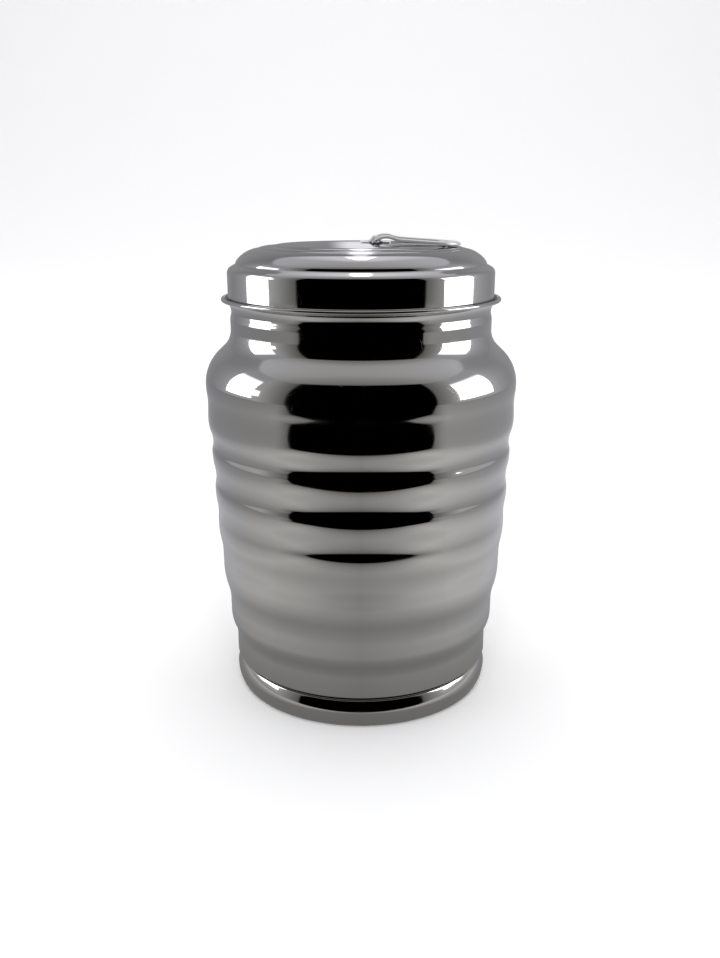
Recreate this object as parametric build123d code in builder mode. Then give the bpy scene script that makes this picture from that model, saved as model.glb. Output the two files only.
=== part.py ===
from build123d import *
import os
from math import acos, atan2, cos, degrees, radians, sin

os.makedirs("parts", exist_ok=True)

# A lidded household milk can of polished stainless steel, in millimetres.
# +Z is up, the can's axis is Z, and the origin is on the surface it stands on.
# Section points are (radius, height). A tilt is a surface's lean from upright, in degrees.

# ---- sheet ----
sheet = 0.8  # wall of every spun or pressed shell
collar_slip = 0.15  # radial clearance of the lid's collar in the neck

# ---- can body ----
barrel_foot_r = 66.4
barrel_foot_z = 16.4  # lower edge of the barrel, at the foot seam
lap_top_z = 26.0  # the base cup is lapped inside the barrel up to here
barrel_r = 77.7  # widest radius, just under the shoulder
rib_levels = [  # crests and grooves in turn, from the plain foot band upwards
    (barrel_foot_r, 27.0),
    (69.25, 38.4),
    (69.3, 45.1),
    (72.3, 65.0),
    (72.4, 71.4),
    (74.15, 88.3),
    (73.95, 93.7),
    (75.1, 106.3),
    (74.4, 112.1),
    (75.9, 125.3),
    (75.2, 130.5),
    (77.25, 142.4),
    (77.05, 150.7),
    (barrel_r, 159.6),
]
shoulder_radius = 20.8
shoulder_tilt = 46.4
shoulder_run = 4.35  # straight length between the shoulder and the neck fillet
neck_fillet = 11.6
neck_run = 5.0  # upright length of the neck
neck_waist_r = 63.9  # narrowest radius, just under the flared mouth
neck_waist_z = 194.8
flare_radius = 6.4
flare_tilt = 58.0
bead_r = 0.95  # section radius of the curled edge

# ---- base cup ----
heel_r = 63.2  # outer edge of the flat standing ring
tread_r = 60.6  # inner edge of the flat standing ring
floor_r = 56.5  # the floor is raised inside this radius
floor_z = 3.2
floor_dish = 1.3  # further rise of the floor at its centre
foot_crest_r = 66.6
foot_crest_z = 8.1
heel_tilt = 60.0  # where the heel's tight turn passes into its open one
foot_turn_r = 1.5
foot_tilt = 13.0
band_radius = 25.0  # the convex band above the foot's crest
band_tilt = 24.0
foot_lip_r = 2.5  # rolled lip at the seam
foot_lip_tilt = 74.0
seam_hollow_r = 0.4
spigot_z = 19.0  # the cup's wall lies against the barrel from here up

# ---- lid ----
lid_r = 65.3
skirt_foot_z = 200.4  # lower edge of the skirt, resting in the flare
skirt_top_z = 213.3
corner_radius = 3.0
corner_tilt = 62.0
corner_run = 2.2
groove_radius = 1.2
groove_tilt = 17.0
crown_foot_radius = 5.31  # tighter turn at the foot of the crown
crown_foot_tilt = 42.0
crown_radius = 14.9
crown_tilt = 84.0
step_tilt = 60.0  # steepest slope of the two small steps on the crown
step_hollow_r = 1.0
step_crest_r = 5.0
ledge_tilt = 87.0
ledge_run = 5.0  # width of the ledge between the two steps

# ---- collar inside the lid ----
collar_foot_z = 187.5
collar_waist_z = 199.4
collar_seat_z = 203.4
collar_top_z = 211.8

# ---- folding handle ----
hinge_x = 7.0
hinge_lift = 1.15  # pin centre above the top of the lid
pin_r = 1.0
pin_slip = 0.1
clip_sheet = 0.6
clip_flank_r = 3.0
clip_half_width = 7.5
clip_length = 20.0
clip_corner_r = 2.0
clip_sink = 0.25  # the feet are formed down on to the domed lid by this much
loop_width = 34.0
loop_strap = 6.0
loop_sheet = 1.4
loop_rise = 38.0  # side view: the strap leaves the pin at this slope, in degrees
loop_hump_r = 8.0
loop_fall = 20.0  # slope behind the hump
loop_hollow_r = 20.0
loop_slope = 4.0  # slope of the straight grip, down to the lid
loop_grip = 28.0
loop_tip_r = 13.0  # outer corners of the strap at the tip


def s_bend(start, end, heading=(0, 1)):
    """Two tangent arcs that leave start and arrive at end along the same heading."""
    step = (end[0] - start[0], end[1] - start[1])
    along = step[0] * heading[0] + step[1] * heading[1]
    across = heading[0] * step[1] - heading[1] * step[0]
    turn = degrees(2 * atan2(across, along))
    radius = (along**2 + across**2) / (4 * abs(across))
    first = JernArc(start=start, tangent=heading, radius=radius, arc_size=turn)
    return JernArc(start=first @ 1, tangent=first % 1, radius=radius, arc_size=-turn)


def bend(line, radius, turn):
    """An arc that carries on from the end of line; a positive turn is to the left."""
    return JernArc(start=line @ 1, tangent=line % 1, radius=radius, arc_size=turn)


def run(line, length):
    """A straight piece that carries on from the end of line."""
    return Line(line @ 1, line @ 1 + (line % 1) * length)


def finish(piece, name):
    """Label a piece and write its STEP file."""
    piece.part.label = name
    export_step(piece.part, f"parts/{name}.step")


# ---- can body: barrel, shoulder, neck and flared mouth, spun from one sheet ----
with BuildPart() as can_body:
    with BuildSketch(Plane.XZ):
        with BuildLine():
            Line((barrel_foot_r, barrel_foot_z), rib_levels[0])
            for below, above in zip(rib_levels, rib_levels[1:]):
                s_bend(below, above)
            shoulder = JernArc(
                start=rib_levels[-1],
                tangent=(0, 1),
                radius=shoulder_radius,
                arc_size=shoulder_tilt,
            )
            slope = run(shoulder, shoulder_run)
            fillet_up = bend(slope, neck_fillet, -shoulder_tilt)
            neck_top = run(fillet_up, neck_run) @ 1
            waist = s_bend((neck_top.X, neck_top.Y), (neck_waist_r, neck_waist_z))
            flare = bend(waist, flare_radius, -flare_tilt)
            lip = run(flare, bead_r)
            offset(amount=sheet, side=Side.LEFT, closed=True)
        make_face()
        with Locations(lip @ 1):
            Circle(bead_r)
    revolve(axis=Axis.Z)
finish(can_body, "can_body")

# ---- base cup: floor, standing ring, convex foot and the spigot lapped in the barrel ----
heel_sin = sin(radians(heel_tilt))
heel_cos = cos(radians(heel_tilt))
heel_width = foot_crest_r - heel_r
heel_share = heel_sin * heel_cos - (1 - heel_sin) * (1 - heel_cos)
heel_tight_r = (heel_width * heel_cos - foot_crest_z * (1 - heel_sin)) / heel_share
heel_open_r = (foot_crest_z * heel_sin - heel_width * (1 - heel_cos)) / heel_share
spigot_r = barrel_foot_r - sheet
with BuildPart() as base_cup:
    with BuildSketch(Plane.XZ):
        with BuildLine():
            floor_turn = degrees(2 * atan2(floor_dish, floor_r))
            floor = JernArc(
                start=(0, floor_z + floor_dish),
                tangent=(1, 0),
                radius=floor_r / sin(radians(floor_turn)),
                arc_size=-floor_turn,
            )
            rim_in = bend(floor, sheet, floor_turn)
            rim_foot = rim_in @ 1
            tread = s_bend((rim_foot.X, rim_foot.Y), (tread_r, 0), (1, 0))
            ring = run(tread, heel_r - tread_r)
            heel = bend(ring, heel_tight_r, heel_tilt)
            flank = bend(heel, heel_open_r, 90 - heel_tilt)
            crest = bend(flank, foot_turn_r, foot_tilt)
            band = bend(crest, band_radius, band_tilt - foot_tilt)
            lip_roll = bend(band, foot_lip_r, foot_lip_tilt - band_tilt)
            seam = bend(lip_roll, seam_hollow_r, -foot_lip_tilt)
            seam_top = seam @ 1
            spigot = s_bend((seam_top.X, seam_top.Y), (spigot_r, spigot_z))
            run(spigot, lap_top_z - spigot_z)
            offset(amount=sheet, side=Side.LEFT, closed=True)
        make_face()
    revolve(axis=Axis.Z)
finish(base_cup, "base_cup")

# ---- lid cap: straight skirt, rounded corner, grooved and stepped crown ----
with BuildPart() as lid_cap:
    with BuildSketch(Plane.XZ):
        with BuildLine():
            skirt = Line((lid_r, skirt_foot_z), (lid_r, skirt_top_z))
            corner = bend(skirt, corner_radius, corner_tilt)
            chamfer_run = run(corner, corner_run)
            groove = bend(chamfer_run, groove_radius, groove_tilt - corner_tilt)
            crown_foot = bend(groove, crown_foot_radius, crown_foot_tilt - groove_tilt)
            crown = bend(crown_foot, crown_radius, crown_tilt - crown_foot_tilt)
            outer_hollow = bend(crown, step_hollow_r, step_tilt - crown_tilt)
            outer_step = bend(outer_hollow, step_crest_r, ledge_tilt - step_tilt)
            ledge = run(outer_step, ledge_run)
            inner_hollow = bend(ledge, step_hollow_r, step_tilt - ledge_tilt)
            inner_step = bend(inner_hollow, step_crest_r, ledge_tilt - step_tilt)
            plate_r = (inner_step @ 1).X
            plate_turn = 90 - ledge_tilt
            plate = bend(inner_step, plate_r / sin(radians(plate_turn)), plate_turn)
            offset(amount=sheet, side=Side.LEFT, closed=True)
        make_face()
    revolve(axis=Axis.Z)
lid_top_z = (plate @ 1).Y
finish(lid_cap, "lid_cap")

# ---- lid collar: stepped ring welded inside the skirt, a slip fit in the neck ----
collar_r = neck_waist_r - sheet - collar_slip
collar_seat_r = lid_r - sheet
with BuildPart() as lid_collar:
    with BuildSketch(Plane.XZ):
        with BuildLine():
            Line((collar_r, collar_foot_z), (collar_r, collar_waist_z))
            joggle = s_bend((collar_r, collar_waist_z), (collar_seat_r, collar_seat_z))
            run(joggle, collar_top_z - collar_seat_z)
            offset(amount=sheet, side=Side.LEFT, closed=True)
        make_face()
    revolve(axis=Axis.Z)
finish(lid_collar, "lid_collar")

# ---- handle clip: pressed saddle over the handle's pin, welded to the lid ----
hinge_z = lid_top_z + hinge_lift
clip_crown_r = pin_r + pin_slip + clip_sheet
clip_drop = hinge_lift + clip_crown_r - clip_sheet + clip_sink
clip_turn = degrees(acos(1 - clip_drop / (clip_crown_r + clip_flank_r)))
clip_foot_x = (clip_crown_r + clip_flank_r) * sin(radians(clip_turn))
clip_plane = Plane.XZ.offset(-clip_length / 2)
with BuildPart() as handle_clip:
    with BuildSketch(clip_plane):
        with BuildLine():
            foot_z = hinge_z + clip_crown_r - clip_drop
            near_foot = Line(
                (hinge_x + clip_half_width, foot_z), (hinge_x + clip_foot_x, foot_z)
            )
            rise = bend(near_foot, clip_flank_r, -clip_turn)
            saddle = bend(rise, clip_crown_r, 2 * clip_turn)
            fall = bend(saddle, clip_flank_r, -clip_turn)
            run(fall, clip_half_width - clip_foot_x)
            offset(amount=clip_sheet, side=Side.LEFT, closed=True)
        make_face()
    extrude(amount=clip_length)
    fillet(handle_clip.edges().filter_by(Axis.Z), clip_corner_r)
    add(lid_cap.part, mode=Mode.SUBTRACT)
finish(handle_clip, "handle_clip")

# ---- handle loop: arched strap cut from one pressing, with its hinge pin ----
window_r = loop_tip_r - loop_strap
side_plane = Plane(origin=(hinge_x, loop_width / 2, hinge_z), x_dir=(1, 0, 0), z_dir=(0, -1, 0))
with BuildPart() as handle_loop:
    with BuildSketch(side_plane):
        with BuildLine():
            hump = JernArc(
                start=(0, 0),
                tangent=(cos(radians(loop_rise)), sin(radians(loop_rise))),
                radius=loop_hump_r,
                arc_size=-(loop_rise + loop_fall),
            )
            hollow = bend(hump, loop_hollow_r, loop_fall - loop_slope)
            grip = run(hollow, loop_grip)
            offset(amount=loop_sheet / 2, side=Side.BOTH, closed=True)
        make_face()
    extrude(amount=loop_width)
    loop_reach = (grip @ 1).X
    with BuildSketch(Plane(origin=(hinge_x, 0, hinge_z - loop_width))):
        with Locations(((loop_reach - loop_tip_r) / 2, 0)):
            RectangleRounded(loop_reach + loop_tip_r, loop_width, loop_tip_r)
        with Locations(((loop_reach - loop_strap - window_r) / 2, 0)):
            RectangleRounded(
                loop_reach - loop_strap + window_r,
                loop_width - 2 * loop_strap,
                window_r,
                mode=Mode.SUBTRACT,
            )
    extrude(amount=2 * loop_width, mode=Mode.INTERSECT)
    with BuildSketch(side_plane):
        Circle(pin_r)
    extrude(amount=loop_width)
finish(handle_loop, "handle_loop")
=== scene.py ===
import math

import bpy
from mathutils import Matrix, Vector


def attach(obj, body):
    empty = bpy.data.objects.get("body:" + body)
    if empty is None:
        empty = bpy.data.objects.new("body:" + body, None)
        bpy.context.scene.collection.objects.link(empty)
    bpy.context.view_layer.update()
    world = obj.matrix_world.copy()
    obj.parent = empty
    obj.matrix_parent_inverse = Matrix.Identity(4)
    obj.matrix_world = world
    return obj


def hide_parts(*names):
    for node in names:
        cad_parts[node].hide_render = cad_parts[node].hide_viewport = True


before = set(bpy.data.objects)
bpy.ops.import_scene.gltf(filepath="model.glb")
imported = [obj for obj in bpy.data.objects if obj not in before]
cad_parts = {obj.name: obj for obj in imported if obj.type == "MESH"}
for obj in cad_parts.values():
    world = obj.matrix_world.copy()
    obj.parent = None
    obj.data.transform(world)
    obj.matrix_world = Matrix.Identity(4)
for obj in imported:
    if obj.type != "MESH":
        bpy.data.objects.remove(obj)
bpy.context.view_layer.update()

MM = 0.001

# ---- the can's own dimensions, in millimetres, as the CAD source has them ----
SHEET = 0.8
BARREL_FOOT_R = 66.4
BARREL_FOOT_Z = 16.4
LAP_TOP_Z = 26.0
BARREL_R = 77.7
RIB_LEVELS = [
    (BARREL_FOOT_R, 27.0),
    (69.25, 38.4),
    (69.3, 45.1),
    (72.3, 65.0),
    (72.4, 71.4),
    (74.15, 88.3),
    (73.95, 93.7),
    (75.1, 106.3),
    (74.4, 112.1),
    (75.9, 125.3),
    (75.2, 130.5),
    (77.25, 142.4),
    (77.05, 150.7),
    (BARREL_R, 159.6),
]
SHOULDER = (20.8, 46.4, 4.35)  # radius, tilt, straight run
NECK_FILLET = 11.6
NECK_RUN = 5.0
NECK_WAIST = (63.9, 194.8)
FLARE = (6.4, 58.0)  # radius, tilt
BEAD_R = 0.95

HEEL_R = 63.2
TREAD_R = 60.6
FLOOR_R = 56.5
FLOOR_Z = 3.2
FLOOR_DISH = 1.3
FOOT_CREST = (66.6, 8.1)
HEEL_TILT = 60.0
FOOT_TURN = (1.5, 13.0)
FOOT_BAND = (25.0, 24.0)
FOOT_LIP_R = 2.5
FOOT_LIP_TILT = 74.0
SEAM_HOLLOW_R = 0.4
SPIGOT_Z = 19.0

LID_R = 65.3
SKIRT_FOOT_Z = 200.4
SKIRT_TOP_Z = 213.3
CORNER = (3.0, 62.0, 2.2)  # radius, tilt, straight run
GROOVE = (1.2, 17.0)
CROWN_FOOT = (5.31, 42.0)
CROWN = (14.9, 84.0)
STEP_HOLLOW_R = 1.0
STEP_TILT = 60.0
STEP_CREST_R = 5.0
LEDGE = (87.0, 5.0)  # tilt, width

COLLAR_SLIP = 0.15
COLLAR_FOOT_Z = 187.5
COLLAR_WAIST_Z = 199.4
COLLAR_SEAT_Z = 203.4
COLLAR_TOP_Z = 211.8

HINGE_X = 7.0
HINGE_LIFT = 1.15
PIN_R = 1.0
PIN_SLIP = 0.1
CLIP_SHEET = 0.6
CLIP_FLANK_R = 3.0
CLIP_HALF_WIDTH = 7.5
CLIP_LENGTH = 20.0
CLIP_CORNER_R = 2.0
CLIP_SINK = 0.25
LOOP_WIDTH = 34.0
LOOP_STRAP = 6.0
LOOP_SHEET = 1.4
LOOP_RISE = 38.0
LOOP_HUMP_R = 8.0
LOOP_FALL = 20.0
LOOP_HOLLOW_R = 20.0
LOOP_SLOPE = 4.0
LOOP_GRIP = 28.0
LOOP_TIP_R = 13.0

# ---- mesh fineness, in facets, degrees and millimetres ----
AROUND = 256  # facets round the can
ARC_STEP = math.radians(4.0)
LONG_STEP = 1.2  # between rings on a long gentle curve
EDGE_R = 0.18  # rounding of a cut sheet edge
EDGE_PIECES = 3  # facets in a quarter of that rounding
CURL_PIECES = 36  # facets round the curled edge
CURL_LEAD = (0.12, 0.02)  # extra rings this far before the curl keep its shading crisp
SAME_POINT = 0.001
CLIP_STEP = 0.28
CLIP_ACROSS = 72
CLIP_EDGE_R = 0.14
CLIP_SHARP = math.radians(50.0)  # only corners sharper than this are rounded
STRAP_EDGE_R = 0.45
STRAP_EDGE_PIECES = 4
STRAP_STEP = 0.4  # along the strap
STRAP_ACROSS_STEP = 0.7
PIN_AROUND = 40
PIN_END = [(0.0, 0.55), (0.12, 0.85), (0.35, PIN_R)]  # the pin's domed end: depth, radius


class Section:
    """The outer skin of a sheet in section, as a chain of tangent arcs and lines."""

    def __init__(self, r, z, heading=(0.0, 1.0)):
        self.p = Vector((r, z))
        self.t = Vector(heading).normalized()
        self.samples = [(self.p.copy(), self.t.copy())]

    def line(self, length):
        pieces = max(1, math.ceil(length / LONG_STEP))
        start = self.p.copy()
        for i in range(1, pieces + 1):
            self.p = start + self.t * (length * i / pieces)
            self.samples.append((self.p.copy(), self.t.copy()))
        return self

    def arc(self, radius, turn):
        """A positive turn, in degrees, is to the left."""
        angle = math.radians(turn)
        side = 1.0 if angle > 0 else -1.0
        left = Vector((-self.t.y, self.t.x))
        centre = self.p + left * (side * radius)
        spoke = self.p - centre
        start = self.t.copy()
        pieces = max(
            2,
            math.ceil(abs(angle) / ARC_STEP),
            math.ceil(abs(angle) * radius / LONG_STEP),
        )
        for i in range(1, pieces + 1):
            a = angle * i / pieces
            c, s = math.cos(a), math.sin(a)
            self.p = centre + Vector((spoke.x * c - spoke.y * s, spoke.x * s + spoke.y * c))
            self.t = Vector((start.x * c - start.y * s, start.x * s + start.y * c))
            self.samples.append((self.p.copy(), self.t.copy()))
        return self

    def s_bend(self, r, z):
        """Two arcs that arrive at (r, z) along the present heading."""
        step = Vector((r, z)) - self.p
        along = step.dot(self.t)
        across = self.t.x * step.y - self.t.y * step.x
        turn = math.degrees(2 * math.atan2(across, along))
        radius = (along**2 + across**2) / (4 * abs(across))
        self.arc(radius, turn)
        return self.arc(radius, -turn)


def left_of(t):
    return Vector((-t.y, t.x))


def cap(sample, forward, sheet):
    """The rounded cut edge at a sheet's end, from the outer skin to the inner."""
    p, t = sample
    n = left_of(t)
    t = t * forward
    points = []
    first = p - t * EDGE_R + n * EDGE_R
    second = p - t * EDGE_R + n * (sheet - EDGE_R)
    for i in range(EDGE_PIECES + 1):
        a = math.pi / 2 * i / EDGE_PIECES
        points.append(first - n * (EDGE_R * math.cos(a)) + t * (EDGE_R * math.sin(a)))
    for i in range(EDGE_PIECES + 1):
        a = math.pi / 2 * i / EDGE_PIECES
        points.append(second + t * (EDGE_R * math.cos(a)) + n * (EDGE_R * math.sin(a)))
    return points


def sheet_outline(samples, sheet, cap_start=True, cap_end=True):
    """A closed section: outer skin, end edge, inner skin, start edge."""
    outer = [p.copy() for p, t in samples]
    inner = [p + left_of(t) * sheet for p, t in samples]
    if cap_end:
        end = cap(samples[-1], 1.0, sheet)
        outer, inner = outer[:-1] + end, inner[:-1]
    if cap_start:
        start = cap(samples[0], -1.0, sheet)
        outer, inner = start[::-1] + outer[1:], inner[1:]
    return outer + inner[::-1]


def distinct(points):
    """The points without any that falls on the one before, as inside a turn of the sheet's radius."""
    return points[:1] + [q for p, q in zip(points, points[1:]) if (q - p).length > SAME_POINT]


def mesh_object(name, verts, faces):
    mesh = bpy.data.meshes.new(name)
    mesh.from_pydata(verts, [], faces)
    mesh.validate()
    mesh.polygons.foreach_set("use_smooth", [True] * len(mesh.polygons))
    mesh.update()
    obj = bpy.data.objects.new(name, mesh)
    bpy.context.scene.collection.objects.link(obj)
    return obj


def revolve(name, outline, closed=True):
    """Turns a section, given in mm, about the can's axis. Points on the axis become poles."""
    verts, rings = [], []
    for p in outline:
        if p.x < 1e-6:
            rings.append([len(verts)])
            verts.append((0.0, 0.0, p.y * MM))
            continue
        first = len(verts)
        for k in range(AROUND):
            a = 2 * math.pi * k / AROUND
            verts.append((p.x * MM * math.cos(a), p.x * MM * math.sin(a), p.y * MM))
        rings.append(list(range(first, first + AROUND)))
    faces = []
    pairs = list(zip(rings, rings[1:]))
    if closed:
        pairs.append((rings[-1], rings[0]))
    for lower, upper in pairs:
        if len(lower) == 1 and len(upper) == 1:
            continue
        for k in range(AROUND):
            j = (k + 1) % AROUND
            if len(lower) == 1:
                faces.append((lower[0], upper[j], upper[k]))
            elif len(upper) == 1:
                faces.append((lower[k], lower[j], upper[0]))
            else:
                faces.append((lower[k], lower[j], upper[j], upper[k]))
    return mesh_object(name, verts, faces)


# ---- body shell ----
def body_shell():
    skin = Section(BARREL_FOOT_R, BARREL_FOOT_Z)
    skin.line(RIB_LEVELS[0][1] - BARREL_FOOT_Z)
    for r, z in RIB_LEVELS[1:]:
        skin.s_bend(r, z)
    radius, tilt, run = SHOULDER
    skin.arc(radius, tilt).line(run).arc(NECK_FILLET, -tilt).line(NECK_RUN)
    skin.s_bend(*NECK_WAIST)
    skin.arc(FLARE[0], -FLARE[1])
    p, t = skin.samples[-1]
    n = left_of(t)
    centre = p + t * BEAD_R
    outer = cap(skin.samples[0], -1.0, SHEET)[::-1] + [q for q, _ in skin.samples[1:-1]]
    outer += [p - t * lead for lead in CURL_LEAD]
    sweep = 2 * math.pi - math.asin(SHEET / BEAD_R)
    curl = []
    for i in range(1, CURL_PIECES + 1):
        a = sweep * i / CURL_PIECES
        curl.append(centre - t * (BEAD_R * math.cos(a)) - n * (BEAD_R * math.sin(a)))
    inner = [q + left_of(h) * SHEET for q, h in skin.samples[1:]]
    obj = revolve("body_shell", outer + curl + inner[::-1])
    obj.data.materials.append(BODY_STEEL)
    obj.data.materials.append(INSIDE_STEEL_PAINTED_SHADE)
    # the inner skin from here on gets the darkened steel, painted shade for the can's inside
    inside = (len(outer) + len(curl) - 2) * AROUND
    for polygon in obj.data.polygons[inside:]:
        polygon.material_index = 1
    return obj


# ---- base pan ----
def base_pan():
    heel_sin, heel_cos = math.sin(math.radians(HEEL_TILT)), math.cos(math.radians(HEEL_TILT))
    width = FOOT_CREST[0] - HEEL_R
    share = heel_sin * heel_cos - (1 - heel_sin) * (1 - heel_cos)
    tight = (width * heel_cos - FOOT_CREST[1] * (1 - heel_sin)) / share
    wide = (FOOT_CREST[1] * heel_sin - width * (1 - heel_cos)) / share
    turn = math.degrees(2 * math.atan2(FLOOR_DISH, FLOOR_R))
    skin = Section(0.0, FLOOR_Z + FLOOR_DISH, (1.0, 0.0))
    skin.arc(FLOOR_R / math.sin(math.radians(turn)), -turn)
    skin.arc(SHEET, turn)
    skin.s_bend(TREAD_R, 0.0).line(HEEL_R - TREAD_R)
    skin.arc(tight, HEEL_TILT).arc(wide, 90 - HEEL_TILT)
    skin.arc(*FOOT_TURN).arc(FOOT_BAND[0], FOOT_BAND[1] - FOOT_TURN[1])
    skin.arc(FOOT_LIP_R, FOOT_LIP_TILT - FOOT_BAND[1]).arc(SEAM_HOLLOW_R, -FOOT_LIP_TILT)
    skin.s_bend(BARREL_FOOT_R - SHEET, SPIGOT_Z)
    skin.line(LAP_TOP_Z - SPIGOT_Z)
    outline = distinct(sheet_outline(skin.samples, SHEET, cap_start=False))
    outline[0].x = outline[-1].x = 0.0
    return revolve("base_pan", outline, closed=False)


# ---- lid shell ----
def lid_skin():
    skin = Section(LID_R, SKIRT_FOOT_Z)
    skin.line(SKIRT_TOP_Z - SKIRT_FOOT_Z)
    skin.arc(CORNER[0], CORNER[1]).line(CORNER[2])
    skin.arc(GROOVE[0], GROOVE[1] - CORNER[1])
    skin.arc(CROWN_FOOT[0], CROWN_FOOT[1] - GROOVE[1])
    skin.arc(CROWN[0], CROWN[1] - CROWN_FOOT[1])
    skin.arc(STEP_HOLLOW_R, STEP_TILT - CROWN[1]).arc(STEP_CREST_R, LEDGE[0] - STEP_TILT)
    skin.line(LEDGE[1])
    skin.arc(STEP_HOLLOW_R, STEP_TILT - LEDGE[0]).arc(STEP_CREST_R, LEDGE[0] - STEP_TILT)
    turn = 90 - LEDGE[0]
    skin.arc(skin.p.x / math.sin(math.radians(turn)), turn)
    return skin


def lid_shell():
    outline = sheet_outline(lid_skin().samples, SHEET, cap_end=False)
    for p in outline:
        if abs(p.x) < 0.01:
            p.x = 0.0
    middle = next(i for i, p in enumerate(outline) if p.x == 0.0)
    # start at one pole and end at the other, so that nothing is drawn along the axis
    return revolve("lid_shell", outline[middle + 1:] + outline[:middle + 1], closed=False)


# ---- lid guide ring ----
def lid_guide():
    guide_r = NECK_WAIST[0] - SHEET - COLLAR_SLIP
    skin = Section(guide_r, COLLAR_FOOT_Z)
    skin.line(COLLAR_WAIST_Z - COLLAR_FOOT_Z)
    skin.s_bend(LID_R - SHEET, COLLAR_SEAT_Z)
    skin.line(COLLAR_TOP_Z - COLLAR_SEAT_Z)
    return revolve("lid_guide", sheet_outline(skin.samples, SHEET))


# ---- handle ----
LID_TOP_Z = lid_skin().p.y
HINGE_Z = LID_TOP_Z + HINGE_LIFT
WELDS = [(x, y) for x in (-5.6, 5.6) for y in (-6.2, 6.2)]  # on the clip's feet, from its centre
WELD_R = 1.3
WELD_REACH = 1.6  # a spot weld marks the sheet out to this many radii
WELD_DEPTH = 0.16
WELD_RIM = 0.35  # height of the raised ring round it, as a share of the depth
WELD_BACK = 0.6  # how much of the dent shows on the underside
FOOT_SLOPE = 0.02  # the feet follow the domed lid


def weld_dent(x, y):
    """Depth of the spot welds' marks at a place on the clip."""
    dent = 0.0
    for weld_x, weld_y in WELDS:
        d = math.hypot(x - weld_x, y - weld_y) / WELD_R
        if d < WELD_REACH:
            dent += WELD_DEPTH * (math.exp(-3.2 * d**2) - WELD_RIM * math.exp(-14 * (d - 1) ** 2))
    return dent


def finer(samples, spacing):
    """The samples with more put between them, no further apart than the spacing."""
    fine = []
    for (p, t), (q, u) in zip(samples, samples[1:]):
        pieces = max(1, math.ceil((q - p).length / spacing))
        for i in range(pieces):
            fine.append((p.lerp(q, i / pieces), t.lerp(u, i / pieces).normalized()))
    return fine + [samples[-1]]


def clip_half_length(x):
    """Half the clip's length along Y, less at the rounded corners of its feet."""
    past = max(0.0, abs(x) - (CLIP_HALF_WIDTH - CLIP_CORNER_R))
    return CLIP_LENGTH / 2 - (CLIP_CORNER_R - math.sqrt(max(CLIP_CORNER_R**2 - past**2, 0.0)))


def clip_saddle():
    crown = PIN_R + PIN_SLIP + CLIP_SHEET
    drop = HINGE_LIFT + crown - CLIP_SHEET + CLIP_SINK
    turn = math.degrees(math.acos(1 - drop / (crown + CLIP_FLANK_R)))
    foot_x = (crown + CLIP_FLANK_R) * math.sin(math.radians(turn))
    profile = Section(CLIP_HALF_WIDTH, HINGE_Z + crown - drop, (-1.0, 0.0))
    profile.line(CLIP_HALF_WIDTH - foot_x)
    profile.arc(CLIP_FLANK_R, -turn).arc(crown, 2 * turn).arc(CLIP_FLANK_R, -turn)
    profile.line(CLIP_HALF_WIDTH - foot_x)
    fine = finer(profile.samples, CLIP_STEP)
    verts, rows = [], []
    for side, share in ((0.0, 1.0), (CLIP_SHEET, WELD_BACK)):
        for p, t in fine:
            row = []
            half = clip_half_length(p.x)
            fall = FOOT_SLOPE * max(0.0, abs(p.x) - foot_x)
            for k in range(CLIP_ACROSS + 1):
                y = half * (2 * k / CLIP_ACROSS - 1)
                q = p + left_of(t) * (side + share * weld_dent(p.x, y))
                row.append(len(verts))
                verts.append(((q.x + HINGE_X) * MM, y * MM, (q.y - fall) * MM))
            rows.append(row)
    faces = []
    m = len(fine)
    top, under = rows[:m], rows[m:]
    for i in range(m - 1):
        for k in range(CLIP_ACROSS):
            faces.append((top[i][k], top[i][k + 1], top[i + 1][k + 1], top[i + 1][k]))
            faces.append((under[i][k], under[i + 1][k], under[i + 1][k + 1], under[i][k + 1]))
        faces.append((top[i][0], top[i + 1][0], under[i + 1][0], under[i][0]))
        faces.append((top[i][-1], under[i][-1], under[i + 1][-1], top[i + 1][-1]))
    for k in range(CLIP_ACROSS):
        faces.append((top[0][k], under[0][k], under[0][k + 1], top[0][k + 1]))
        faces.append((top[-1][k], top[-1][k + 1], under[-1][k + 1], under[-1][k]))
    obj = mesh_object("handle_saddle", verts, faces)
    bevel = obj.modifiers.new("soft_edges", "BEVEL")
    bevel.width = CLIP_EDGE_R * MM
    bevel.segments = 3
    bevel.limit_method = "ANGLE"
    bevel.angle_limit = CLIP_SHARP
    apply_modifiers(obj)
    return obj


def apply_modifiers(obj):
    bpy.context.view_layer.update()
    depsgraph = bpy.context.evaluated_depsgraph_get()
    mesh = bpy.data.meshes.new_from_object(obj.evaluated_get(depsgraph))
    obj.modifiers.clear()
    obj.data = mesh
    mesh.polygons.foreach_set("use_smooth", [True] * len(mesh.polygons))
    mesh.update()


def loop_profile():
    """Side view of the strap's middle line: sample points and headings, from the pin outwards."""
    rise = math.radians(LOOP_RISE)
    line = Section(0.0, 0.0, (math.cos(rise), math.sin(rise)))
    line.arc(LOOP_HUMP_R, -(LOOP_RISE + LOOP_FALL))
    line.arc(LOOP_HOLLOW_R, LOOP_FALL - LOOP_SLOPE)
    line.line(LOOP_GRIP)
    return line.samples


def loop_plan(reach):
    """The strap's middle line seen from above, out to the tip and back."""
    half = (LOOP_WIDTH - LOOP_STRAP) / 2
    turn_r = LOOP_TIP_R - LOOP_STRAP / 2
    plan = Section(0.0, -half, (1.0, 0.0))
    plan.line(reach - LOOP_STRAP / 2 - turn_r).arc(turn_r, 90)
    plan.line(2 * (half - turn_r)).arc(turn_r, 90)
    plan.line(reach - LOOP_STRAP / 2 - turn_r)
    return finer(plan.samples, STRAP_STEP)


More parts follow.
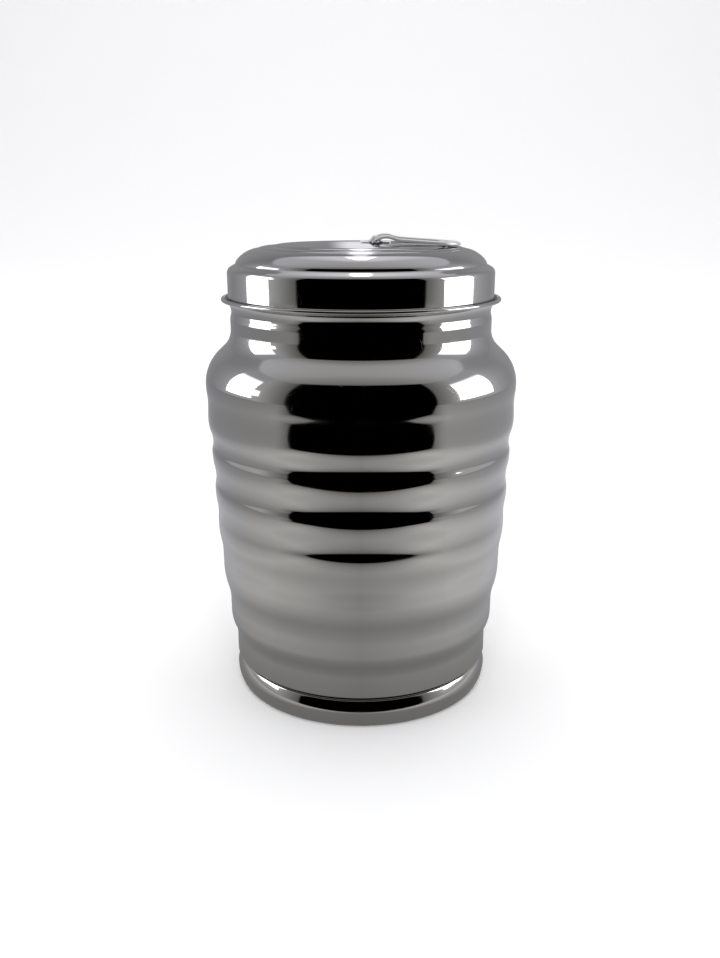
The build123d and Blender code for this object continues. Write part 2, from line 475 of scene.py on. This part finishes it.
def strap_section():
    """The strap's own section, a flat rectangle with rounded edges, as (across, thick) points."""
    ring = []
    for sx, sy, first in ((1, 1, 0), (-1, 1, 90), (-1, -1, 180), (1, -1, 270)):
        cx = sx * (LOOP_STRAP / 2 - STRAP_EDGE_R)
        cy = sy * (LOOP_SHEET / 2 - STRAP_EDGE_R)
        for i in range(STRAP_EDGE_PIECES + 1):
            a = math.radians(first + 90 * i / STRAP_EDGE_PIECES)
            ring.append((cx + STRAP_EDGE_R * math.cos(a), cy + STRAP_EDGE_R * math.sin(a)))
    section = []
    for (ax, ay), (bx, by) in zip(ring, ring[1:] + ring[:1]):
        pieces = max(1, math.ceil(math.hypot(bx - ax, by - ay) / STRAP_ACROSS_STEP))
        for i in range(pieces):
            section.append((ax + (bx - ax) * i / pieces, ay + (by - ay) * i / pieces))
    return section


def lifted(side, x):
    """Height and heading of the strap's side view at a distance x from the hinge."""
    x = min(max(x, 0.0), side[-1][0].x)
    for (p, t), (q, u) in zip(side, side[1:]):
        if x <= q.x:
            share = (x - p.x) / max(q.x - p.x, 1e-9)
            return p.lerp(q, share).y, t.lerp(u, share).normalized()
    return side[-1][0].y, side[-1][1]


def tube_faces(first, rings, count):
    """Faces round a closed tube of so many rings, with both its ends."""
    faces = []
    for i in range(rings - 1):
        a, b = first + i * count, first + (i + 1) * count
        for k in range(count):
            j = (k + 1) % count
            faces.append((a + k, b + k, b + j, a + j))
    last = first + (rings - 1) * count
    faces.append(tuple(range(first, first + count)))
    faces.append(tuple(reversed(range(last, last + count))))
    return faces


def loop_strap():
    side = loop_profile()
    steps = loop_plan(side[-1][0].x)
    section = strap_section()
    verts = []
    for p, t in steps:
        for across, thick in section:
            flat = p - left_of(t) * across
            height, heading = lifted(side, flat.x)
            up = left_of(heading)
            x = flat.x + up.x * thick + HINGE_X
            z = height + up.y * thick + HINGE_Z
            verts.append((x * MM, flat.y * MM, z * MM))
    faces = tube_faces(0, len(steps), len(section))
    # the hinge pin, with slightly domed ends
    first = len(verts)
    rings = [(-LOOP_WIDTH / 2 + depth, r) for depth, r in PIN_END]
    rings += [(-y, r) for y, r in rings[::-1]]
    for y, r in rings:
        for k in range(PIN_AROUND):
            a = 2 * math.pi * k / PIN_AROUND
            x, z = HINGE_X + r * math.cos(a), HINGE_Z + r * math.sin(a)
            verts.append((x * MM, y * MM, z * MM))
    faces += tube_faces(first, len(rings), PIN_AROUND)
    return mesh_object("handle_strap", verts, faces)


# ---- materials ----
def node(tree, kind, **values):
    made = tree.nodes.new(kind)
    for key, value in values.items():
        if key in made.inputs:
            made.inputs[key].default_value = value
        else:
            setattr(made, key, value)
    return made


def maths(tree, operation, a, b=None):
    made = tree.nodes.new("ShaderNodeMath")
    made.operation = operation
    for i, value in enumerate((a, b)):
        if value is None:
            continue
        if isinstance(value, (int, float)):
            made.inputs[i].default_value = value
        else:
            tree.links.new(value, made.inputs[i])
    return made.outputs[0]


def remap(tree, value, low, high, to_low, to_high, smooth=False):
    made = tree.nodes.new("ShaderNodeMapRange")
    made.interpolation_type = "SMOOTHSTEP" if smooth else "LINEAR"
    tree.links.new(value, made.inputs["Value"])
    for key, v in (("From Min", low), ("From Max", high), ("To Min", to_low), ("To Max", to_high)):
        made.inputs[key].default_value = v
    return made.outputs["Result"]


def product(tree, first, *others):
    """All the values multiplied together."""
    for value in others:
        first = maths(tree, "MULTIPLY", first, value)
    return first


def ease(tree, value, start, end):
    """0 up to start and 1 from end on; with start over end, 1 up to end and 0 from start on."""
    if start < end:
        return remap(tree, value, start, end, 0.0, 1.0, smooth=True)
    return remap(tree, value, end, start, 1.0, 0.0, smooth=True)


def axis_distance(tree, x, y):
    """Distance from the can's axis."""
    return maths(tree, "SQRT", maths(tree, "ADD", product(tree, x, x), product(tree, y, y)))


# marks on the metal: where nothing else is said, how often they repeat in a metre
HAZE_PATCHES = 28.0
HAZE_LINES = 900.0
COLOUR_PATCHES = 9.0
WAVES = 22.0
TURNING_LINES = 2600.0
SCRATCH_CELLS = (60.0, 420.0, 95.0)
SCRATCH_TURN = (0.35, 0.2, 0.9)  # radians; the scratches lie along no axis
SCRATCH_WIDTH = 0.012  # as a share of a cell
SCRATCH_PATCHES = 70.0
COOLER = (0.965, 0.97, 0.985)  # the metal's colour drifts to this share of its tint
BRUSHED = 0.35  # how far the turning lines stretch a highlight


def steel(name, tint, gloss, haze, spin, scratch, dents, metal=1.0, turned=True):
    """Polished stainless steel. gloss and haze are the least and the greatest roughness;
    spin is the depth of the turning lines, scratch that of stray scratches and dents that
    of the slow waviness of thin sheet, all in metres."""
    material = bpy.data.materials.new(name)
    material.use_nodes = True
    tree = material.node_tree
    tree.nodes.clear()
    link = tree.links.new
    out = node(tree, "ShaderNodeOutputMaterial")
    bsdf = node(tree, "ShaderNodeBsdfPrincipled", Metallic=metal)
    link(bsdf.outputs["BSDF"], out.inputs["Surface"])
    coords = node(tree, "ShaderNodeTexCoord").outputs["Object"]
    split = node(tree, "ShaderNodeSeparateXYZ")
    link(coords, split.inputs[0])
    x, y, z = split.outputs
    r = axis_distance(tree, x, y)

    def ring_noise(per_metre, around, detail, roughness):
        """Noise drawn out round the axis: fine across the turning lines, slow along them."""
        vector = node(tree, "ShaderNodeCombineXYZ")
        link(maths(tree, "MULTIPLY", r if turned else x, per_metre), vector.inputs[0])
        link(maths(tree, "MULTIPLY", z, per_metre), vector.inputs[1])
        link(maths(tree, "MULTIPLY", x if turned else y, around), vector.inputs[2])
        noise = node(tree, "ShaderNodeTexNoise", noise_dimensions="4D", Scale=1.0,
                     Detail=detail, Roughness=roughness)
        link(vector.outputs[0], noise.inputs["Vector"])
        link(maths(tree, "MULTIPLY", y, around), noise.inputs["W"])
        return noise.outputs["Fac"]

    def cloud(scale, detail, roughness, distortion=0.0):
        noise = node(tree, "ShaderNodeTexNoise", Scale=scale, Detail=detail,
                     Roughness=roughness, Distortion=distortion)
        link(coords, noise.inputs["Vector"])
        return noise.outputs["Fac"]

    # wiping marks and handling haze in the roughness
    smear = ease(tree, cloud(HAZE_PATCHES, 5.0, 0.6, 1.2), 0.38, 0.68)
    lines = ring_noise(HAZE_LINES, 6.0, 3.0, 0.65)
    haze_share = maths(tree, "MULTIPLY", smear, maths(tree, "ADD", 0.45, lines))
    rough = remap(tree, haze_share, 0.0, 1.0, gloss, haze)
    link(rough, bsdf.inputs["Roughness"])

    # a little warm and cool drift of the metal's own colour
    drift = node(tree, "ShaderNodeMix", data_type="RGBA")
    link(ease(tree, cloud(COLOUR_PATCHES, 3.0, 0.5), 0.35, 0.65), drift.inputs["Factor"])
    drift.inputs["A"].default_value = (*tint, 1.0)
    drift.inputs["B"].default_value = (*(t * share for t, share in zip(tint, COOLER)), 1.0)
    link(drift.outputs["Result"], bsdf.inputs["Base Color"])

    # relief: slow waviness of the sheet, turning lines, stray scratches
    slow = maths(tree, "MULTIPLY", cloud(WAVES, 2.0, 0.45), dents)
    turning = maths(tree, "MULTIPLY", ring_noise(TURNING_LINES, 10.0, 2.0, 0.5), spin)
    stretched = node(tree, "ShaderNodeMapping")
    stretched.inputs["Rotation"].default_value = SCRATCH_TURN
    stretched.inputs["Scale"].default_value = SCRATCH_CELLS
    link(coords, stretched.inputs["Vector"])
    cells = node(tree, "ShaderNodeTexVoronoi", feature="DISTANCE_TO_EDGE", Scale=1.0)
    link(stretched.outputs[0], cells.inputs["Vector"])
    thin = remap(tree, cells.outputs["Distance"], 0.0, SCRATCH_WIDTH, 1.0, 0.0)
    sparse = remap(tree, cloud(SCRATCH_PATCHES, 2.0, 0.5), 0.56, 0.62, 0.0, 1.0)
    scratches = product(tree, thin, sparse, -scratch)
    height = maths(tree, "ADD", maths(tree, "ADD", slow, turning), scratches)
    bump = node(tree, "ShaderNodeBump", Strength=1.0, Distance=1.0)
    link(height, bump.inputs["Height"])
    link(bump.outputs["Normal"], bsdf.inputs["Normal"])
    if turned:
        bsdf.inputs["Anisotropic"].default_value = BRUSHED
        tangent = node(tree, "ShaderNodeTangent", direction_type="RADIAL", axis="Z")
        link(tangent.outputs[0], bsdf.inputs["Tangent"])
    return material


BODY_STEEL = steel("body_steel", (0.70, 0.695, 0.685), 0.035, 0.10, 2.2e-7, 4e-6, 1.1e-5)
LID_STEEL = steel("lid_steel", (0.72, 0.715, 0.705), 0.03, 0.08, 1.6e-7, 3e-6, 0.9e-5)
HANDLE_STEEL = steel("handle_steel", (0.86, 0.86, 0.86), 0.38, 0.50, 0.0, 4e-6, 1.0e-5,
                     metal=0.6, turned=False)
# the can's inner skin: the same steel darkened to about 0.17, painted shade for the shadowed inside
# and the crevice under the lid
INSIDE_STEEL_PAINTED_SHADE = steel("inside_steel_painted_shade", (0.17, 0.168, 0.165), 0.25, 0.40, 4e-7, 2e-6, 1.1e-5)

for make, material, cad_node, body, slot in (
    (body_shell, BODY_STEEL, "can_body", "can", "body_steel"),
    (base_pan, BODY_STEEL, "base_cup", "can", "body_steel"),
    (lid_shell, LID_STEEL, "lid_cap", "lid", "lid_steel"),
    (lid_guide, LID_STEEL, "lid_collar", "lid", "lid_steel"),
    (clip_saddle, HANDLE_STEEL, "handle_clip", "lid", "handle_steel"),
    (loop_strap, HANDLE_STEEL, "handle_loop", "handle", "handle_steel"),
):
    piece = make()
    if not piece.data.materials:
        piece.data.materials.append(material)
    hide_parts(cad_node)
    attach(piece, body)

# ---- studio: the paper and lights that the camera sees, and the room as the steel mirrors it ----
# Azimuths are to either side, 0 in front of the can and 180 behind it; elevations are from the
# horizon. Brightness levels are those of the finished picture, 0 to 255.
REFLECTANCE = 0.70  # of the steel; the room is made brighter to make up for it
LAMP = 2.2  # strength of the lamps and softboxes, where 1 is white in the picture

DARK_AZ = 55.0  # half width of the unlit end of the room, behind the camera
DARK_EDGE = 2.5  # softness of its edges, in degrees
DARK_TOP = 54.0  # its height over the camera
DARK_TOP_FALL = 0.0025  # the height falls by this times the square of the azimuth
DARK_TOP_FALL_MAX = 10.0
WALL_LEVELS = [  # by azimuth
    (55, 84), (60, 98), (70, 126), (79, 148), (112, 150), (120, 138), (130, 128), (140, 121),
    (150, 126), (160, 126), (180, 116),
]
WALL_DIM_EL = (12.0, 50.0)
WALL_DIM = 0.78  # the walls fall to this share of their level between those elevations
CEILING_LEVELS = [  # by the angle over the can, 0 in front, 90 overhead and 180 behind
    (40, 92), (56, 101), (64, 115), (72, 126), (80, 139), (90, 146), (100, 152), (110, 158),
    (130, 160), (180, 165),
]
ROOM_R = 20.0
ROOM_EL = (-60.0, 89.9)
ROOM_SIDES = (-12.0, 12.0, 0.97, 1.07)  # from left to right, and the share of the level there
ROOM_COOL_AZ = (40.0, 120.0)

# patches of light in the room. The pairs are the degrees at which each of its edges has no light
# and full light: near and far azimuth, then lower and upper elevation. None is no edge.
HALO = ((140.0, 172.0), None, (40.0, 56.0), (84.0, 66.0))
HALO_LEVEL = 196
MAST = ((177.8, 179.4), None, (1.0, 5.0), (62.0, 52.0))  # a thin upright glow behind the can
MAST_LEVEL = 205
HIGH_STRIP = ((173.5, 175.5), None, (47.5, 52.5), (72.0, 66.0))
LOW_CARDS = ((76.5, 79.5), (104.0, 98.0), (5.0, 6.0), (17.0, 13.0))

TABLE_R = 1.97
TABLE_Z = -0.0004
TABLE_EDGE_Y = -0.33  # the lit table ends here in front
TABLE_EDGE_BLUR = 0.010
TABLE_LEVELS = [  # by the distance to either side
    (0.0, 127), (0.08, 137), (0.2, 161), (0.3, 147), (0.4, 132), (0.6, 126), (1.2, 120),
]
TABLE_FRONT = [(-0.335, 0.30), (-0.285, 0.62), (-0.24, 0.83), (-0.19, 0.98)]  # share of it, by y
TABLE_FRONT_AZ = (40.0, 62.0)  # and that share ends here
# painted contact shadow: the table's glow falls to these shares near the can's foot
TABLE_CONTACT_SHADOW = [(0.064, 0.58), (0.10, 0.70), (0.15, 0.93), (0.20, 1.0)]  # share near the foot
TABLE_SIDES = (-0.25, 0.25, 0.96, 1.14)
TABLE_COOL_AZ = (60.0, 130.0)
CORNER_SLANT = 1.428  # the dark end's near corners are cut off on this slant
CORNER_AT = (-0.12, -0.08)

BOX_REACH = 0.45  # the side softboxes' distance from the can's axis
BOX_Z = (0.156, 0.45)
BOX_FADE_Z = 0.375  # they fade out upwards from here
SOFTBOXES = [(-90.9, 0.215), (84.7, 0.27)]  # signed azimuth, width
WARM = (1.0, 0.985, 0.955, 1.0)
COOL = (0.985, 0.98, 1.03, 1.0)

PAPER = (0.92, 0.92, 0.92, 1.0)
PAPER_HALF_WIDTH = 8.0
PAPER_FRONT_Y = -6.0
PAPER_TURN_Y = 2.2  # where the floor begins to curve up
PAPER_TURN_R = 1.2
PAPER_TURN_PIECES = 24
PAPER_TOP_Z = 9.0
AIR = (0.335, 0.335, 0.350, 1.0)


def linear(level):
    c = level / 255.0
    return c / 12.92 if c <= 0.04045 else ((c + 0.055) / 1.055) ** 2.4


def ramp(tree, value, stops):
    """Piecewise linear: (value, result) stops, the results up to 1."""
    low, high = stops[0][0], stops[-1][0]
    made = tree.nodes.new("ShaderNodeValToRGB")
    tree.links.new(remap(tree, value, low, high, 0.0, 1.0), made.inputs["Fac"])
    band = made.color_ramp
    band.interpolation = "LINEAR"
    for at, _ in stops[1:-1]:
        band.elements.new((at - low) / (high - low))
    for element, (at, result) in zip(band.elements, stops):
        element.color = (result, result, result, 1.0)
    return made.outputs["Color"]


def lit_levels(levels):
    return [(at, linear(level)) for at, level in levels]


def blend(tree, share, a, b):
    """a where share is 0, b where it is 1."""
    kept = maths(tree, "MULTIPLY", maths(tree, "SUBTRACT", 1.0, share), a)
    return maths(tree, "ADD", kept, maths(tree, "MULTIPLY", share, b))


def glow_material(name):
    material = bpy.data.materials.new(name)
    material.use_nodes = True
    tree = material.node_tree
    tree.nodes.clear()
    out = node(tree, "ShaderNodeOutputMaterial")
    glow = node(tree, "ShaderNodeEmission", Strength=1.0)
    tree.links.new(glow.outputs[0], out.inputs["Surface"])
    split = node(tree, "ShaderNodeSeparateXYZ")
    tree.links.new(node(tree, "ShaderNodeTexCoord").outputs["Object"], split.inputs[0])
    return material, tree, glow, split.outputs


def tinted(tree, glow, level, cool):
    """Sends a level to the emission, warm where cool is 0 and cool where it is 1."""
    mixed = node(tree, "ShaderNodeMix", data_type="RGBA")
    mixed.inputs["A"].default_value = WARM
    mixed.inputs["B"].default_value = COOL
    tree.links.new(cool, mixed.inputs["Factor"])
    tree.links.new(mixed.outputs["Result"], glow.inputs["Color"])
    tree.links.new(maths(tree, "DIVIDE", level, REFLECTANCE), glow.inputs["Strength"])


def azimuth(tree, x, y):
    front = maths(tree, "MULTIPLY", y, -1.0)
    return maths(tree, "DEGREES", maths(tree, "ABSOLUTE", maths(tree, "ARCTAN2", x, front)))


def beside_dark(tree, az):
    """1 to the sides of the unlit end of the room and 0 inside it."""
    return ease(tree, az, DARK_AZ - DARK_EDGE / 2, DARK_AZ + DARK_EDGE / 2)


def window(tree, az, el, edges):
    """1 inside a patch of wall and 0 outside it; an edge of None is left open."""
    share = 1.0
    for value, edge in zip((az, az, el, el), edges):
        if edge:
            share = product(tree, ease(tree, value, *edge), share)
    return share


def room_material():
    material, tree, glow, (x, y, z) = glow_material("room_seen_in_steel")
    az = azimuth(tree, x, y)
    el = maths(tree, "DEGREES", maths(tree, "ARCTAN2", z, axis_distance(tree, x, y)))
    over = maths(tree, "DEGREES", maths(tree, "ARCTAN2", z, maths(tree, "MULTIPLY", y, -1.0)))
    dim = remap(tree, el, *WALL_DIM_EL, 1.0, WALL_DIM, smooth=True)
    wall = product(tree, ramp(tree, az, lit_levels(WALL_LEVELS)), dim)
    ceiling = ramp(tree, over, lit_levels(CEILING_LEVELS))
    fall = maths(tree, "MINIMUM", product(tree, az, az, DARK_TOP_FALL), DARK_TOP_FALL_MAX)
    height = maths(tree, "ADD", el, fall)
    above = ease(tree, height, DARK_TOP - DARK_EDGE / 2, DARK_TOP + DARK_EDGE / 2)
    level = blend(tree, above, wall, ceiling)
    level = blend(tree, window(tree, az, el, HALO), level, linear(HALO_LEVEL))
    level = product(tree, level, maths(tree, "MAXIMUM", above, beside_dark(tree, az)))
    level = blend(tree, window(tree, az, el, MAST), level, linear(MAST_LEVEL))
    level = blend(tree, window(tree, az, el, HIGH_STRIP), level, LAMP)
    level = blend(tree, window(tree, az, el, LOW_CARDS), level, LAMP)
    level = product(tree, level, remap(tree, x, *ROOM_SIDES))
    tinted(tree, glow, level, ease(tree, az, *ROOM_COOL_AZ))
    return material


def table_material():
    """The lit table under the can, which ends in front of it."""
    material, tree, glow, (x, y, z) = glow_material("table_seen_in_steel")
    az = azimuth(tree, x, y)
    aside = maths(tree, "ABSOLUTE", x)
    # painted shadow of the can on the table, darker close to its foot
    contact_shadow = ramp(tree, axis_distance(tree, x, y), TABLE_CONTACT_SHADOW)
    front = maths(tree, "MAXIMUM", ramp(tree, y, TABLE_FRONT), ease(tree, az, *TABLE_FRONT_AZ))
    edge = ease(tree, y, TABLE_EDGE_Y - TABLE_EDGE_BLUR / 2, TABLE_EDGE_Y + TABLE_EDGE_BLUR / 2)
    slant = maths(tree, "ADD", aside, maths(tree, "MULTIPLY", y, CORNER_SLANT))
    lit = maths(tree, "MAXIMUM", edge, beside_dark(tree, az))
    lit = maths(tree, "MAXIMUM", lit, ease(tree, slant, *CORNER_AT))
    level = ramp(tree, aside, lit_levels(TABLE_LEVELS))
    level = product(tree, level, contact_shadow, front, lit, remap(tree, x, *TABLE_SIDES))
    tinted(tree, glow, level, ease(tree, az, *TABLE_COOL_AZ))
    return material


def staged(obj, material, seen_by):
    """A stage piece seen only by the named kinds of ray."""
    obj.data.materials.append(material)
    obj.visible_camera = "camera" in seen_by
    obj.visible_diffuse = "diffuse" in seen_by
    obj.visible_glossy = "glossy" in seen_by
    obj.visible_transmission = False
    obj.visible_volume_scatter = False
    obj.visible_shadow = "shadow" in seen_by


def floor_material():
    material = bpy.data.materials.new("studio_paper")
    material.use_nodes = True
    tree = material.node_tree
    tree.nodes.clear()
    out = node(tree, "ShaderNodeOutputMaterial")
    paper = node(tree, "ShaderNodeBsdfDiffuse", Roughness=0.6, Color=PAPER)
    tree.links.new(paper.outputs[0], out.inputs["Surface"])
    return material


def softbox_material():
    """White and even, fading to nothing towards the top."""
    material, tree, glow, (x, y, z) = glow_material("softbox_seen_in_steel")
    glow.inputs["Strength"].default_value = LAMP / REFLECTANCE
    clear = node(tree, "ShaderNodeBsdfTransparent")
    mixed = node(tree, "ShaderNodeMixShader")
    tree.links.new(ease(tree, z, BOX_FADE_Z, BOX_Z[1]), mixed.inputs[0])
    tree.links.new(glow.outputs[0], mixed.inputs[1])
    tree.links.new(clear.outputs[0], mixed.inputs[2])
    out = next(n for n in tree.nodes if n.bl_idname == "ShaderNodeOutputMaterial")
    tree.links.new(mixed.outputs[0], out.inputs["Surface"])
    return material


def upright_card(name, az, width):
    """A card between the heights BOX_Z, square on to the can's axis."""
    a = math.radians(az)
    middle = Vector((BOX_REACH * math.sin(a), -BOX_REACH * math.cos(a), 0.0))
    half = Vector((math.cos(a), math.sin(a), 0.0)) * (width / 2)
    low, high = Vector((0.0, 0.0, BOX_Z[0])), Vector((0.0, 0.0, BOX_Z[1]))
    corners = [middle - half + low, middle + half + low, middle + half + high, middle - half + high]
    return mesh_object(name, [tuple(c) for c in corners], [(0, 1, 2, 3)])


def dome(name, radius, low, high):
    """A sphere round the can between two elevations."""
    across, up = 96, 48
    verts, faces = [], []
    for i in range(up + 1):
        el = math.radians(low + (high - low) * i / up)
        for k in range(across):
            az = 2 * math.pi * k / across
            verts.append((radius * math.cos(el) * math.cos(az), radius * math.cos(el) * math.sin(az),
                          radius * math.sin(el)))
    for i in range(up):
        for k in range(across):
            j = (k + 1) % across
            faces.append((i * across + k, i * across + j, (i + 1) * across + j, (i + 1) * across + k))
    return mesh_object(name, verts, faces)


def disc(name, radius, z):
    rim = []
    for k in range(96):
        a = 2 * math.pi * k / 96
        rim.append((radius * math.cos(a), radius * math.sin(a), z))
    return mesh_object(name, rim, [tuple(range(96))])


def paper_sweep():
    """A seamless sheet: flat floor, curved up into a wall far behind."""
    line = [(PAPER_FRONT_Y, 0.0)]
    for i in range(PAPER_TURN_PIECES + 1):
        a = math.pi / 2 * i / PAPER_TURN_PIECES
        line.append((PAPER_TURN_Y + PAPER_TURN_R * math.sin(a), PAPER_TURN_R * (1 - math.cos(a))))
    line.append((PAPER_TURN_Y + PAPER_TURN_R, PAPER_TOP_Z))
    verts = [(side * PAPER_HALF_WIDTH, y, z) for y, z in line for side in (-1, 1)]
    faces = [(2 * i, 2 * i + 1, 2 * i + 3, 2 * i + 2) for i in range(len(line) - 1)]
    return mesh_object("paper_sweep", verts, faces)


world = bpy.data.worlds.new("studio")
bpy.context.scene.world = world
world.use_nodes = True
background = world.node_tree.nodes["Background"]
background.inputs["Color"].default_value = AIR
background.inputs["Strength"].default_value = 1.0

staged(paper_sweep(), floor_material(), ("camera", "diffuse", "shadow"))
staged(disc("table_seen_in_steel", TABLE_R, TABLE_Z), table_material(), ("glossy",))
staged(dome("room_seen_in_steel", ROOM_R, *ROOM_EL), room_material(), ("glossy",))
softbox = softbox_material()
for i, (az, width) in enumerate(SOFTBOXES):
    staged(upright_card(f"softbox_seen_in_steel_{i + 1}", az, width), softbox, ("glossy",))


def area_light(name, location, target, size, energy):
    data = bpy.data.lights.new(name, "AREA")
    data.shape = "SQUARE"
    data.size = size
    data.energy = energy
    obj = bpy.data.objects.new(name, data)
    obj.location = location
    obj.rotation_mode = "QUATERNION"
    obj.rotation_quaternion = (Vector(target) - Vector(location)).to_track_quat("-Z", "Y")
    obj.visible_glossy = False
    obj.visible_camera = False
    bpy.context.scene.collection.objects.link(obj)


area_light("overhead", (0.0, 0.6, 3.2), (0.0, 0.4, 0.0), 4.0, 110.0)
area_light("front_fill", (0.0, -3.4, 2.6), (0.0, 0.5, 0.3), 3.0, 60.0)

# ---- camera ----
SENSOR = 36.0
LENS = 1.0093946 * SENSOR  # the sensor's width lies along the longer side of the picture
CAMERA_TILT = 16.29  # degrees below level

camera_data = bpy.data.cameras.new("camera")
camera_data.lens = LENS
camera_data.sensor_width = SENSOR
camera_data.clip_start = 0.01
camera_data.clip_end = 50.0
camera = bpy.data.objects.new("camera", camera_data)
camera.location = (-0.0005, -0.484, 0.2486)
camera.rotation_mode = "XYZ"
camera.rotation_euler = (math.radians(90.0 - CAMERA_TILT), 0.0, 0.0)
bpy.context.scene.collection.objects.link(camera)
bpy.context.scene.camera = camera

bpy.context.scene.view_settings.view_transform = "Standard"
bpy.context.scene.view_settings.look = "None"
